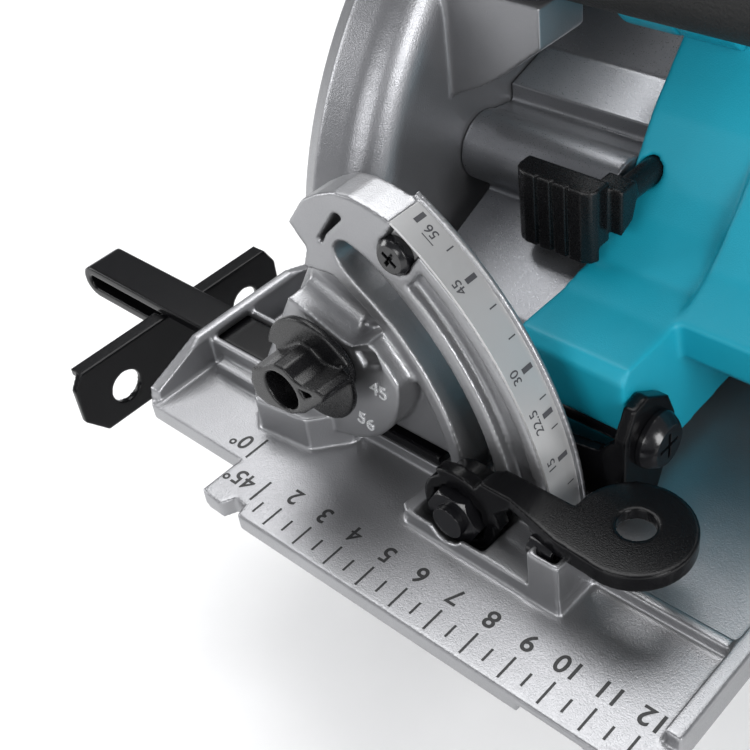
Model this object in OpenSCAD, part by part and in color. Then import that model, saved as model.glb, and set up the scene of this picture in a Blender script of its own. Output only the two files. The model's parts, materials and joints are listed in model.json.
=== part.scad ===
// Circular saw for a guide rail, with a swinging bevel quadrant, a rip fence and a battery.
// X+ is the motor side, Y+ the rear, Z+ up. The origin is on the sole, where the 0 degree
// kerf line meets the front edge. Heights below are measured from the deck (top of the base).

/* [Base] */
// Thickness of the base plate
base_t = 5; // [4:0.5:6]
// Width of the base to the left of the kerf line
base_left = 38; // [36:1:44]
// Width of the base to the right of the kerf line
base_right = 128; // [124:1:150]
// Length of the base
base_len = 290; // [286:1:310]
// Setback of the front edge left of the kerf line
left_setback = 12; // [8:1:14]
// Height of the left rim above the deck
rim_h = 10; // [8:0.5:10]

/* [Bevel quadrant] */
// Largest bevel angle
bevel_max = 56; // [50:1:56]
// Distance of the bevel axis to the left of the kerf line
pivot_off = 5.8; // [5:0.1:7]
// Radius of the degree scale
scale_r = 85.1; // [84:0.1:86]
// Radius of the lock slot's middle
slot_r = 65; // [64:0.5:66]
// Width of the lock slot
slot_w = 10; // [9:0.5:10.5]
// Position of the quadrant's front face
quad_y = 35; // [35:0.5:36]
// Depth of the quadrant from front to rear
quad_t = 11; // [9:0.5:11]

/* [Blade and gears] */
// Radius of the blade
blade_r = 95; // [85:1:96]
// Number of blade teeth
blade_teeth = 40; // [24:2:60]
// Thickness of the blade body
blade_t = 1.8; // [1.2:0.1:2]
// Teeth of the driven gear
gear_teeth = 40; // [40:1:40]
// Teeth of the motor pinion
pinion_teeth = 12; // [12:1:12]
// Gear module
gear_m = 1; // [1:0.1:1]

/* [Depth hinge] */
// Distance of the depth hinge behind the kerf origin
hinge_y = 60; // [60:0.5:61]
// Height of the depth hinge above the deck
hinge_z = 19; // [18:0.5:20]
// Raising travel of the saw head in degrees
depth_max = 22; // [10:1:22]

/* [Handle and battery] */
// Width of the handle
handle_w = 31; // [28:1:34]
// Width of the battery
battery_w = 76; // [70:1:78]
// Height of the battery
battery_h = 62; // [55:1:64]

/* [Hidden] */
$fn = 64;
clear = 0.05;
arc_steps = 16;
slide_gap = 0.25;
deck = base_t;
pivot_x = -pivot_off;
arbor_y = 158;
arbor_z = 21;
case_r = 107.5;
case_left = -14;
case_right = 11;
case_wall = 2.2;
case_low = 13;
rim_fillet = 10;
guard_r = 98.5;
guard_left = -8;
guard_right = 6.8;
guard_wall = 1;
boss_r = 22;
bracket_y = 49.5;
sheet_t = 3;
pin_r = 2.5;
bolt_r = 4;
bolt_z = 6.5;
bolt_x = pivot_x + sqrt(slot_r * slot_r - bolt_z * bolt_z);
bolt_a = asin(bolt_z / slot_r);
sweep_r = slot_r - 9;
eye_r = 10.2;
eye_y = 26;
nut_y = 23.5;
rear_bracket_y = 266.5;
bar_y = 36.5;
bar_w = 12;
bar_z = 3.5;
bar_t = 3;
bar_left = -97;
bar_right = 44;
bed_right = 51;
face_x = -60;
screw_a = 54.6;
screw_r = 78.2;
knob_x = 20;
knob_z = 30;
knob_r = 14.8;
knob_y = 14.8;
disc_y = 30;
shoulder_a = 18.7;
disc_x = 14;
disc_z = 31.6;
disc_r = 26.5;
centre_dist = gear_m * (gear_teeth + pinion_teeth) / 2;
motor_y = arbor_y - 6;
motor_z = arbor_z + sqrt(centre_dist * centre_dist - 36);
motor_r = 44;
motor_x = 55.05;
motor_end = 148;
mesh_a = atan2(motor_z - arbor_z, motor_y - arbor_y);
guide_r = 190;
guide_a = 4;
lock_y = hinge_y + guide_r * cos(guide_a);
lock_z = hinge_z + guide_r * sin(guide_a);
handle_x = 40;
battery_x = 52;
battery_y = 216;
battery_z = 26;
battery_len = 88;
cell_r = 8;
lock_pin_x = 59.2;
lock_pin_z = 56.5;
bridge_x = 38;
bridge_y = 88;
bridge_t = 16;
bridge_top = 96;
// Centre line of the handle: place and radius of each knuckle
grip_path = [[124, 92, 13], [148, 132, 14], [172, 164, 15], [226, 160, 15.5], [252, 134, 14.5],
    [250, 110, 11], [204, 106, 9.5]];

// ---- placing helpers ----

module on_deck() translate([0, 0, deck]) children();
module along_x(x, y, z) translate([x, y, z]) rotate([0, 90, 0]) children();
module along_y(x, y, z) translate([x, y, z]) rotate([-90, 0, 0]) children();
module slab_xy(z, t) translate([0, 0, z]) linear_extrude(t) children();
module slab_xz(y, t) translate([0, y + t, 0]) rotate([90, 0, 0]) linear_extrude(t) children();
module slab_yz(x, t) translate([x, 0, 0]) rotate([90, 0, 90]) linear_extrude(t) children();
module block(x0, x1, y0, y1, z0, z1) translate([x0, y0, z0]) cube([x1 - x0, y1 - y0, z1 - z0]);
module rod_x(x0, x1, y, z, r) along_x(x0, y, z) cylinder(h = x1 - x0, r = r);
module rod_y(y0, y1, x, z, r) along_y(x, y0, z) cylinder(h = y1 - y0, r = r);
module tube_x(x0, x1, y, z, r_out, r_in) difference() {
    rod_x(x0, x1, y, z, r_out);
    rod_x(x0 - 1, x1 + 1, y, z, r_in);
}
module at_arbor() translate([0, arbor_y, arbor_z]) children();

// ---- flat shapes ----

// Part of a ring between two angles
module ring_sector(r_in, r_out, a0, a1) intersection() {
    difference() {
        circle(r_out, $fn = 128);
        circle(r_in, $fn = 128);
    }
    polygon(concat([[0, 0]],
        [for (i = [0:12]) let (a = a0 + (a1 - a0) * i / 12) 1.5 * r_out * [cos(a), sin(a)]]));
}

// Points of an arc, and a shape of two round ends joined by their outer tangents
function arc(c, r, a0, a1) =
    [for (k = [0:arc_steps]) let (t = a0 + (a1 - a0) * k / arc_steps) c + r * [cos(t), sin(t)]];
module link(p, rp, q, rq) {
    a = atan2(q[1] - p[1], q[0] - p[0]);
    b = acos((rp - rq) / norm(q - p));
    polygon(concat(arc(p, rp, a + b, a + 360 - b), arc(q, rq, a - b, a + b)));
}

// Involute gear outline with a tooth centred on the angle start
function involute(a) = tan(a) * 180 / PI - a;
function half_tooth(r, teeth) = let (rp = gear_m * teeth / 2, rb = rp * cos(20))
    90 / teeth - 3.6 / rp + involute(20) - involute(acos(min(1, rb / r)));
function flank(teeth) =
    let (rp = gear_m * teeth / 2, rb = rp * cos(20), root = rp - 1.25 * gear_m)
    let (tip = rp + 0.75 * gear_m, low = max(rb, root))
    concat(root < rb ? [[root, half_tooth(rb, teeth)]] : [],
        [for (k = [0:4]) let (r = low + (tip - low) * k / 4) [r, half_tooth(r, teeth)]]);
module gear_outline(teeth, start) {
    side = flank(teeth);
    n = len(side) - 1;
    polygon([for (i = [0:teeth - 1], s = [-1, 1], k = [0:n])
        let (p = side[s < 0 ? k : n - k], a = start + i * 360 / teeth + s * p[1]) p[0] * [cos(a), sin(a)]]);
}

// Pan-head screw along +Y from its head, with a crosswise driver recess
module pan_screw(head_r, head_h, shank_r, length) {
    difference() {
        intersection() {
            cylinder(h = head_h, r = head_r);
            translate([0, 0, head_h * 1.3]) sphere(head_h * 1.3 + head_r * 0.28, $fn = 48);
        }
        for (a = [0, 90]) rotate(a) translate([-head_r * 0.5, -0.5, -1]) cube([head_r, 1, 2.2]);
    }
    translate([0, 0, head_h]) cylinder(h = length, r = shank_r);
}

// ---- base ----

module base_outline() polygon([[-base_left, left_setback + 2], [-base_left + 2, left_setback],
    [-0.6, left_setback], [-0.6, -1], [6.5, -1.5], [8.4, 2.2], [11.5, 2], [12.6, -1.5],
    [base_right - 6, -1.5], [base_right, 4.5], [base_right, base_len - 12],
    [base_right - 12, base_len], [-base_left + 8, base_len], [-base_left, base_len - 8]]);

// The base and its bevel quadrant are one casting
module base_casting() color([0.62, 0.64, 0.67]) on_deck() {
    base_plate();
    bevel_quadrant();
}

module base_plate() difference() {
    union() {
        slab_xy(-base_t, base_t) base_outline();
        left_rim();
        // fence channel: bed, front wall and rear wall
        block(-34.5, bed_right, 36.2, 48, -1, bar_z - 0.1);
        block(-34.5, -8, 34, bar_y - slide_gap, -1, 8);
        block(-34.5, -15.5, bar_y + bar_w + slide_gap, 50.3, -1, 8);
        block(-30, -9, 30.6, 34.5, -1, 4);
        // raised step and rim right of the quadrant
        block(92, base_right, 32, 35, -1, 3);
        block(base_right - 4, base_right, 8, 100, -1, 4);
        // cross rib behind the blade opening and the rear hinge lug
        block(-30, base_right - 10, 279, 283, -1, 4);
        block(-12, 0.4, 270.5, 280, -1, 5.2);
    }
    block(-14, 31, 48, 270.3, -base_t - 1, 12);
    block(30, 56.5, 142, 174, -base_t - 1, 12);
    block(-base_left - 1, -34, bar_y - slide_gap, bar_y + bar_w + slide_gap,
        bar_z - 0.1, bar_z + bar_t + 0.3);
    rod_y(35.9, 49, pivot_x, 0, pin_r + clear);
    rod_y(262, 278.5, pivot_x, 0, pin_r + clear);
    // recess under the bevel lock, and the groove in the sole that runs on a guide rail
    rod_y(22, quad_y, bolt_x, bolt_z, eye_r + 0.3);
    block(96, 112.4, -3, base_len + 1, -base_t - 1, -2.4);
    translate([-24, bar_y + bar_w / 2, -base_t - 1]) cylinder(h = base_t + 6, r = 3 + clear);
}

// Left side rim, rising from the front corner
module left_rim() difference() {
    slab_yz(-base_left, base_left - 34.5) polygon([[13.5, -1], [14, 3.2], [31, rim_h], [66, rim_h],
        [74, 7.5], [base_len - 20, 7.5], [base_len - 14, -1]]);
    translate([-34.5, 0, rim_h]) rotate([0, 45, 0]) cube([1.7, 2 * base_len, 1.7], center = true);
}

// Quadrant with the degree scale, the lock slot, the stop disc and their feet
module bevel_quadrant() difference() {
    union() {
        translate([pivot_x, 0, 0]) quadrant_arcs();
        slab_xz(38, 3.5) quadrant_web();
        slab_xz(quad_y, 10) quadrant_cap();
        slab_xz(disc_y, 9) stop_boss_outline();
        boss_fillet();
        slab_xy(-1, 11) polygon([[-4.5, 23.1], [11.6, 24.8], [18.8, 33.1], [18.8, 36], [-9, 36], [-9, 27]]);
        // terrace and set screw box
        slab_xy(-1, 5) polygon([[45, 22.5], [47, 21], [91, 20], [91, 36], [45, 36]]);
        block(82.6, 90.8, 20, 31, -1, 15);
        block(64.5, pivot_x + scale_r - 1.2, quad_y, quad_y + quad_t, -1, 8);
    }
    block(-60, 140, 0, 80, -2, -0.5);
    translate([pivot_x, 0, 0]) slab_xz(20, 40) lock_slot();
    block(-40, bed_right + 2, bar_y - slide_gap, 60, -1, 7);
    rod_y(20, 60, knob_x, knob_z, bolt_r + clear);
    slab_xz(disc_y - 1, 2.6) polygon([[27.7, 36.1], [34.4, 39], [35.6, 34.4], [30.2, 32.1]]);
    // room for the lever's eye, nut and washer
    rod_y(22, quad_y, bolt_x, bolt_z, eye_r + 0.3);
    // window beside the cap, relieved rear corner, set screw pocket
    slab_xz(30, 20) polygon([[14.6, 57.4], [22.4, 68.2], [25.6, 68.4], [18.9, 61.6], [17.2, 58.6]]);
    translate([6.5, 45, 55]) rotate([0, 0, 45]) cube([7, 7, 60], center = true);
    block(84, 89.6, 21.2, 28, 10, 16);
    rod_x(80, 85, 24.6, 12.8, 2.5 + clear);
    translate([pivot_x, 0, 0]) {
        rotate([0, -screw_a, 0]) {
            rod_y(34, 46.5, screw_r, 0, 1.8);
            rod_y(30, quad_y + 1.7, screw_r, 0, 4.4);
        }
        slab_xz(quad_y - 1, 3.5) ring_sector(scale_r - 10.3, scale_r + 2, 51.7, 57.5);
    }
}

// Slot of the bevel lock bolt; it narrows to the bolt at full tilt
module lock_slot() {
    ring_sector(slot_r - slot_w / 2, slot_r + slot_w / 2, bolt_a, bevel_max + 2);
    rotate(bolt_a) translate([slot_r, 0]) circle(slot_w / 2);
    link(on_slot(bevel_max + 2), slot_w / 2, on_slot(bolt_a + bevel_max + 0.1), bolt_r + 0.3);
}

function on_slot(a) = slot_r * [cos(a), sin(a)];

module quadrant_arcs() {
    slab_xz(quad_y, 9) difference() {
        ring_sector(slot_r - 9, slot_r + 9, 1, bolt_a + bevel_max + 5.4);
        polygon([[-20, -20], [100, -20], [100, 1.2], [-20, 1.2]]);
    }
    slab_xz(38, quad_y + quad_t - 38) ring_sector(slot_r + 9, scale_r - 3.8, 1, bevel_max + 2.3);
    slab_xz(quad_y, quad_t) ring_sector(scale_r - 4, scale_r - 0.7, 0.5, bevel_max + 2.3);
    slab_xz(quad_y + quad_t - 1.5, 1.5) ring_sector(scale_r - 4, scale_r + 0.9, 0.1, bevel_max + 3);
    slab_xz(quad_y, 6) ring_sector(slot_r + 9, scale_r - 3.8, 50, bevel_max + 2.3);
}

// Web between the pivot corner and the slot; its left edge leans towards the cap
module quadrant_web() difference() {
    intersection() {
        translate([pivot_x, 0]) ring_sector(10, slot_r - 5, 1, 120);
        polygon([[-14, 8], [10, 51.8], [14, 60], [40, 70], [90, 60], [90, 8]]);
    }
    translate([bolt_x, bolt_z]) circle(12);
}

module quadrant_cap() difference() {
    polygon([[10, 56.7], [6.9, 60.5], [12.5, 68], [17.5, 71.2], [22.8, 73.6], [28, 74.2], [33, 73.6],
        [39.2, 72.2], [40.5, 70], [36, 60], [24, 50], [17, 50.1], [9.4, 49.1], [11.5, 55.2]]);
    translate([pivot_x, 0]) ring_sector(5, 200, 0, bevel_max + 2);
}

// Boss behind the stop knob: a disc with a flat shoulder above and a straight left side
module stop_boss_outline() intersection() {
    translate([disc_x, disc_z]) circle(disc_r);
    translate([pivot_x, 0]) circle(sweep_r, $fn = 128);
    polygon([[7.7, 42.6], [24.2, 37], [27, 37], [33.8, 41.2], [45, 41.2], [45, 0], [-9, 0],
        [-9, 12], [3.1, 34.2]]);
}

// Hollow rounding between the shoulder and the web behind it
module boss_fillet() translate([7.7, 0, 42.6]) rotate([0, shoulder_a, 0])
    slab_yz(0, 17.4)
        polygon([[38.5, -1], [38.5, 5.5], [37.4, 2.6], [36, 1.2], [34, 0.3], [32, -0.1], [32, -1]]);

module scale_plate() color([0.82, 0.82, 0.80]) on_deck() translate([pivot_x, 0, 0]) difference() {
    union() {
        slab_xz(quad_y + 0.3, 9.1) ring_sector(scale_r - 0.68, scale_r, 2.8, bevel_max + 2);
        slab_xz(quad_y + 1.7, 0.7) ring_sector(scale_r - 10, scale_r, 52, 57.2);
    }
    rotate([0, -screw_a, 0]) rod_y(30, 44, screw_r, 0, 2);
}

module scale_screw() color([0.06, 0.06, 0.06]) on_deck() translate([pivot_x, 0, 0]) rotate([0, -screw_a, 0])
    along_y(screw_r, quad_y - 1.55, 0) pan_screw(4.3, 3.2, 1.75, 8);

module stop_set_screw() color([0.06, 0.06, 0.06]) on_deck() difference() {
    rod_x(81, 87.2, 24.6, 12.8, 2.5);
    rod_x(85.2, 88, 24.6, 12.8, 1.3, $fn = 6);
}

module pivot_pin(y0, y1, head_y) on_deck() {
    rod_y(y0, y1, pivot_x, 0, pin_r);
    rod_y(head_y, head_y + 1.8, pivot_x, 0, 4.3);
}

module bevel_pivot_pins() color("gray") {
    pivot_pin(38, 53, bracket_y + sheet_t + 0.1);
    pivot_pin(264.5, 278, rear_bracket_y - 1.9);
}

// ---- rip fence ----

module fence_bar() color([0.05, 0.05, 0.05]) on_deck() {
    block(bar_left + 5, bar_right, bar_y, bar_y + bar_w, bar_z, bar_z + bar_t);
    slab_xz(bar_y, bar_w) translate([bar_left + 5, bar_z - 2.2]) difference() {
        circle(bar_t + 2.2);
        circle(2.2);
        translate([0, -20]) square([40, 40]);
    }
    block(bar_left + 5, face_x - 0.1, bar_y, bar_y + bar_w, bar_z - 4.4 - bar_t, bar_z - 4.4);
}

module fence_face() color([0.05, 0.05, 0.05]) on_deck() {
    slab_yz(face_x, 2.2) difference() {
        polygon([[3, -12], [9, -19], [72, -19], [78, -12], [78, -2], [75, 3.4], [6, 3.4], [3, -1]]);
        for (y = [18.4, 64.6]) translate([y, -9.4]) circle(4.9);
    }
    block(face_x - 2.6, face_x + 0.1, 6, bar_y - 0.2, 1.3, 3.4);
    block(face_x - 2.6, face_x + 0.1, bar_y + bar_w + 0.2, 75, 1.3, 3.4);
}

module fence_clamp_screw() color([0.12, 0.12, 0.12]) on_deck()
translate([-24, bar_y + bar_w / 2, -base_t + 0.4]) difference() {
    cylinder(h = base_t + bar_z - 0.5, r = 3);
    translate([0, 0, -1]) cylinder(h = 4, r = 1.6, $fn = 6);
}

// ---- positive stop ----

// Turning grip on a thin plate, with a deep round well and a small pocket in its end
module stop_knob() color([0.07, 0.07, 0.08]) on_deck() difference() {
    translate([knob_x, 0, knob_z]) {
        slab_xz(23.5, 1.8) {
            circle(knob_r - 2.5);
            intersection() {
                circle(knob_r);
                polygon([[-16, 2.4], [14, 8.4], [14, 20], [-16, 20]]);
            }
        }
        slab_xz(25.2, 4.6) circle(7.8);
        slab_xz(knob_y, 23.6 - knob_y) grip_outline();
    }
    rod_y(knob_y - 1, 22, knob_x - 1.5, knob_z + 0.5, 5.2);
    slab_xz(knob_y - 1, 5) translate([knob_x, knob_z]) polygon([[4.5, 4], [9.7, 4.5], [6.3, 2]]);
    rod_y(21, 31, knob_x, knob_z, bolt_r + 0.01);
}

module grip_outline() polygon([[-10.9, 2.6], [-12.4, -2], [-11.3, -6.3], [-8, -7], [0.3, -5.8],
    [5, -3.2], [12.2, 3.8], [13.1, 5.9], [11.2, 6.6], [6, 5.8], [3.6, 6.2], [0.9, 8.1],
    [-2.5, 7.9], [-7.3, 4.4]]);

module stop_shaft() color("silver") on_deck() {
    rod_y(22.1, 46.4, knob_x, knob_z, bolt_r);
    slab_xz(46.4, 2.4) translate([knob_x, knob_z]) link([0, 0], 7, [5, 0], 4);
}

// ---- tilting frame ----

module front_tilt_bracket() color([0.05, 0.05, 0.05]) on_deck() difference() {
    union() {
        slab_xz(bracket_y, sheet_t) {
            link([pivot_x, 0], 4.6, [9, 5.5], 4.6);
            polygon([[8, 1], [87, 1], [87, 24], [83.3, 23.1], [79.9, 19.1], [72.7, 17.8], [45, 15.5],
                [22, 12], [8, 10]]);
        }
        for (x = [14, 84]) slab_yz(x, sheet_t) bracket_ear();
        rod_y(quad_y + quad_t + 0.1, bracket_y + 1, bolt_x, bolt_z, 6.2);
    }
    rod_y(49, 54, pivot_x, 0, pin_r + clear);
    rod_y(40, 54, bolt_x, bolt_z, bolt_r + clear);
    rod_x(10, 90, hinge_y, hinge_z, bolt_r + clear);
}

module bracket_ear() polygon([[bracket_y, 1], [bracket_y, 25], [53, 31.6], [58, 32.4], [66, 27],
    [69, 20], [67, 10], [63, 1]]);

module rear_tilt_bracket() color([0.05, 0.05, 0.05]) on_deck() difference() {
    slab_xz(rear_bracket_y, sheet_t) {
        link([pivot_x, 0], 4.6, [10, 6.5], 5.6);
        polygon([[8, 1], [44, 1], [44, 9], [39, 14], [14, 14], [8, 11.4]]);
    }
    rod_y(262, 272, pivot_x, 0, pin_r + clear);
    rivet_places() rod_y(262, 272, 0, 0, 2.5);
}

module rivet_places() for (x = [24, 36]) translate([x, 0, 7.6]) children();

// Curved, slotted plate that holds the cutting depth
module depth_guide() color([0.5, 0.5, 0.52]) on_deck() difference() {
    union() {
        slab_yz(14.5, sheet_t) difference() {
            union() {
                translate([hinge_y, hinge_z])
                    ring_sector(guide_r - 9, guide_r + 9, -4.5, guide_a + depth_max + 5);
                polygon([[238, 1.5], [rear_bracket_y, 1.5], [rear_bracket_y, 13.5], [250, 24],
                    [241, 24]]);
            }
            translate([hinge_y, hinge_z]) {
                ring_sector(guide_r - bolt_r - 0.3, guide_r + bolt_r + 0.3, guide_a, guide_a + depth_max);
                for (a = [guide_a, guide_a + depth_max])
                    rotate(a) translate([guide_r, 0]) circle(bolt_r + 0.3);
            }
        }
        block(14.5, 42, rear_bracket_y - sheet_t, rear_bracket_y, 1.5, 13.5);
    }
    rivet_places() rod_y(262, 272, 0, 0, 2.5);
}

module guide_rivets() color("dimgray") on_deck() rivet_places() {
    rod_y(262.2, 270.8, 0, 0, 2.5);
    rod_y(261.8, rear_bracket_y - sheet_t, 0, 0, 4.2);
    rod_y(rear_bracket_y + sheet_t, 271.2, 0, 0, 4.2);
}

module lock_bolt() color([0.15, 0.15, 0.16]) on_deck() {
    rod_y(nut_y - 1.6, bracket_y + sheet_t + 1, bolt_x, bolt_z, bolt_r);
    rod_y(bracket_y + sheet_t, 55.4, bolt_x, bolt_z, 6.2);
}

module lock_washer() color([0.1, 0.1, 0.1]) on_deck() difference() {
    rod_y(eye_y + 3.55, quad_y - 0.1, bolt_x, bolt_z, 8.6);
    rod_y(26, 36, bolt_x, bolt_z, bolt_r + clear);
}

module hinge_bolt() color([0.06, 0.06, 0.06]) on_deck() {
    rod_x(11.4, 88, hinge_y, hinge_z, bolt_r);
    translate([91.3, hinge_y, hinge_z]) rotate([0, -90, 0]) pan_screw(7, 4.2, 3.9, 0.2);
}

// Push-on washer that keeps the hinge bolt in place
module hinge_clip() color([0.3, 0.3, 0.31]) on_deck() difference() {
    rod_x(11.8, 13.9, hinge_y, hinge_z, 7);
    rod_x(11, 15, hinge_y, hinge_z, bolt_r + 0.01);
}

// ---- bevel lock lever ----

module bevel_lever() color([0.05, 0.05, 0.05]) on_deck() difference() {
    union() {
        rod_y(eye_y, eye_y + 3.5, bolt_x, bolt_z, eye_r);
        slab_xz(eye_y, 3.5) {
            translate([bolt_x, bolt_z]) ring_sector(6, eye_r + 1.8, 8, 120);
            polygon([[bolt_x + 4, bolt_z + 9], [bolt_x + 9, bolt_z + 4], [74, 17.2], [74, 20], [66, 20]]);
        }
        slab_xy(17, 3) {
            polygon([[66, eye_y], [74, eye_y], [88, 22.6], [99, 21.9], [99, 48], [92, 46.5], [88, 40],
                [87.5, 33], [68, 33], [66, 31]]);
            translate([99, 35]) circle(13.1);
        }
        slab_xy(15.4, 2) difference() {
            union() {
                translate([99, 35]) circle(13.1);
                polygon([[80, 24.7], [88, 22.6], [99, 21.9], [99, 30], [80, 30]]);
            }
            translate([99, 35]) circle(10.4);
            polygon([[70, 30], [82, 27], [99, 24.6], [99, 60], [70, 60]]);
        }
    }
    for (a = [0, 30]) along_y(bolt_x, eye_y - 1, bolt_z) rotate(a) cylinder(h = 6, r = 7.7, $fn = 6);
    translate([99, 36, 10]) cylinder(h = 20, r = 4.2);
}

module lock_nut() color([0.2, 0.2, 0.21]) on_deck() difference() {
    along_y(bolt_x, nut_y, bolt_z) intersection() {
        cylinder(h = 6, r = 7.5, $fn = 6);
        cylinder(h = 6, r1 = 6.7, r2 = 12.7);
    }
    rod_y(nut_y - 1, 33, bolt_x, bolt_z, bolt_r + clear);
}

// ---- saw head: blade case and gear case ----

// Half section of the case: radius against position along the spindle, inset by d
function case_section(d) = concat(
    [[0, case_left + d], [case_r - 4.5 - d, case_left + d], [case_r - d, -7], [case_r - d, 1]],
    [for (i = [1:8]) let (a = 90 * i / 8)
        [case_r - rim_fillet + (rim_fillet - d) * cos(a), 1 + (rim_fillet - d) * sin(a)]],
    [[0, case_right - d]]);

module blade_case() color([0.56, 0.57, 0.60]) on_deck() difference() {
    union() {
        intersection() {
            at_arbor() rotate([0, 90, 0]) rotate_extrude($fn = 128) difference() {
                polygon(case_section(0));
                polygon(case_section(case_wall));
            }
            slab_yz(-60, 120)
                polygon([[40, 200], [40, 21], [50, 17], [62, case_low], [300, case_low], [300, 200]]);
        }
        rod_x(case_right - case_wall, 14.3, lock_y, lock_z, 9);
        dust_axis() cylinder(h = 24, r = 14.3);
        // bridge from the case to the front handle
        slab_xz(bridge_y, bridge_t) polygon([[case_right - 1.5, 67], [20, 72.3], [26, 76.2], [bridge_x, 86],
            [bridge_x, bridge_top], [case_right - 1.5, bridge_top]]);
    }
    at_arbor() rod_x(case_right - 6, case_right + 4, 0, 0, boss_r + clear);
    at_arbor() rod_x(case_left - 1, case_left + 4, 0, 0, 34);
    rod_x(8, 20, lock_y, lock_z, bolt_r + clear);
    dust_axis() translate([0, 0, -12]) cylinder(h = 60, r = 12.3 + clear);
    case_screw_places() rod_x(5, 14, 0, 0, 2);
    at_arbor() rod_x(guard_left - 1, guard_right + 0.6, 0, 0, guard_r + 1.5);
}

module dust_axis() translate([-1.5, 236, 78]) rotate([-58, 0, 0]) children();
module case_screw_places() for (a = [35, 80, 125, 165])
    translate([0, arbor_y + 40 * cos(a), arbor_z + 40 * sin(a)]) children();

module case_screws() color("dimgray") on_deck() case_screw_places() {
    rod_x(7.2, 8.8, 0, 0, 3.6);
    rod_x(8.8, 15.5, 0, 0, 1.95);
}

module gear_outer() {
    link([motor_y, motor_z], 28, [arbor_y, arbor_z], 25);
    polygon([[110, 12], [110, 61], [124, 65], [130, 76], [150, 74], [160, 40], [150, 2], [122, 4]]);
}

module gear_inner(gap) link([motor_y, motor_z], 18 - gap, [arbor_y, arbor_z], boss_r - gap);

module gear_case() color([0.45, 0.46, 0.48]) on_deck() difference() {
    union() {
        slab_yz(case_right + 0.05, motor_x - 0.05 - case_right - 0.05) gear_outer();
        slab_yz(case_right + 0.05, 5) intersection() {
            translate([arbor_y, arbor_z]) circle(46);
            translate([100, 2]) square(120);
        }
        at_arbor() rod_x(4.8, 12, 0, 0, boss_r);
        // cross tube in front of the gear chamber
        rod_x(case_right + 0.05, 55, 98, 50, 9);
        slab_yz(case_right + 0.05, 55 - case_right - 0.05)
            polygon([[98, 41.2], [112, 36], [112, 56], [98, 58.5]]);
        // sloping hinge arm
        slab_yz(18, 37) {
            polygon([[60, 12.1], [60, 25.9], [64, 31.6], [69, 33.7], [91, 43], [112, 43], [112, 20]]);
            translate([hinge_y, hinge_z]) circle(6.95);
        }
    }
    slab_yz(case_right + 3, 60) gear_inner(0);
    at_arbor() rod_x(4, 7, 0, 0, 13);
    at_arbor() rod_x(6.9, 30, 0, 0, 17.5 + clear);
    rod_x(10, 90, hinge_y, hinge_z, bolt_r + clear);
    case_screw_places() rod_x(10, 19, 0, 0, 2);
    at_arbor() tube_x(5.05, 5.85, 0, 0, boss_r + 1, boss_r - 0.8);
}

// Wall between gear chamber and motor, with both rear bearing seats
module gear_cover() color([0.45, 0.46, 0.48]) on_deck() difference() {
    union() {
        slab_yz(44.05, 4) gear_inner(0.02);
        rod_x(44.05, 53, arbor_y, arbor_z, 17);
        rod_x(44.05, 53, motor_y, motor_z, 14);
    }
    at_arbor() rod_x(43, 49, 0, 0, 7);
    at_arbor() rod_x(46, 54, 0, 0, 14 + clear);
    rod_x(40, 60, motor_y, motor_z, 6);
    rod_x(46, 54, motor_y, motor_z, 11 + clear);
}

// ---- saw head: motor ----

module nose_outline() polygon([[60.4, 7.7], [55.4, 22.4], [53.6, 36.6], [56, 39.2], [71, 39.6], [82.7, 41.6],
    [92.5, 49], [98, 55], [106, 68], [122, 86], [150, 88], [150, 20], [118, 8], [76, 5]]);

module motor_housing() color([0.05, 0.48, 0.56]) on_deck() difference() {
    union() {
        rod_x(motor_x, motor_end, motor_y, motor_z, motor_r);
        slab_yz(motor_x, 28.3) nose_outline();
        slab_yz(83, 30)
            polygon([[76, 30], [74, 40], [86, 46], [104, 66], [150, 88], [150, 20], [118, 10], [92, 14]]);
        // battery foot and shoe
        slab_yz(56, 68) polygon([[150, 10], [206, 16], [214, 24], [214, 96], [150, 84]]);
        block(62, 118, 205, 272, 90.9, 96);
        for (x = [62, 112.4]) block(x, x + 5.6, 205, 272, 88.4, 96);
        for (x = [62, 108]) block(x, x + 10, 217, 272, 88.4, 90.2);
    }
    rod_x(motor_x + 3.5, motor_end + 2, motor_y, motor_z, motor_r - 3);
    block(68, 112, 214.05, 273, 90.15, 93);
    rod_x(50, 90, hinge_y, hinge_z, bolt_r + clear);
    rod_x(motor_x - 1, 60, motor_y, motor_z, 15);
    rod_y(90, 111.4, lock_pin_x, lock_pin_z, 3.1);
    block(60, 120, 197.5, 211, 32, 84);
    block(70.5, 109.5, 210, 215, 45.5, 70.5);
    end_cap_screw_places() rod_x(130, 150, 0, 0, 1.6);
    // cooling slots
    for (i = [0:5]) slab_yz(118 + 4.4 * i, 2)
        translate([motor_y, motor_z]) ring_sector(motor_r - 6, motor_r + 6, 190, 238);
}

module end_cap_screw_places() for (a = [45, 135, 225, 315])
    translate([0, motor_y + (motor_r - 1.5) * cos(a), motor_z + (motor_r - 1.5) * sin(a)]) children();

module motor_end_cap() color([0.06, 0.06, 0.07]) on_deck() difference() {
    union() {
        rod_x(motor_end + 0.05, 160, motor_y, motor_z, motor_r);
        along_x(160, motor_y, motor_z) cylinder(h = 6, r1 = motor_r, r2 = motor_r - 7);
    }
    difference() {
        rod_x(motor_end - 1, 162, motor_y, motor_z, 38);
        rod_x(151.5, 163, motor_y, motor_z, 12.5);
    }
    rod_x(140, 159.2, motor_y, motor_z, 9.45 + clear);
    for (i = [0:11]) translate([0, motor_y, motor_z]) rotate([30 * i, 0, 0]) block(159, 170, -2, 2, 18, 34);
    end_cap_screw_places() {
        rod_x(145, 170, 0, 0, 1.6);
        rod_x(156, 170, 0, 0, 3.3);
    }
}

module end_cap_screws() color("dimgray") on_deck() end_cap_screw_places() {
    rod_x(138, 156.5, 0, 0, 1.55);
    rod_x(156, 158.4, 0, 0, 3.2);
}

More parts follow.
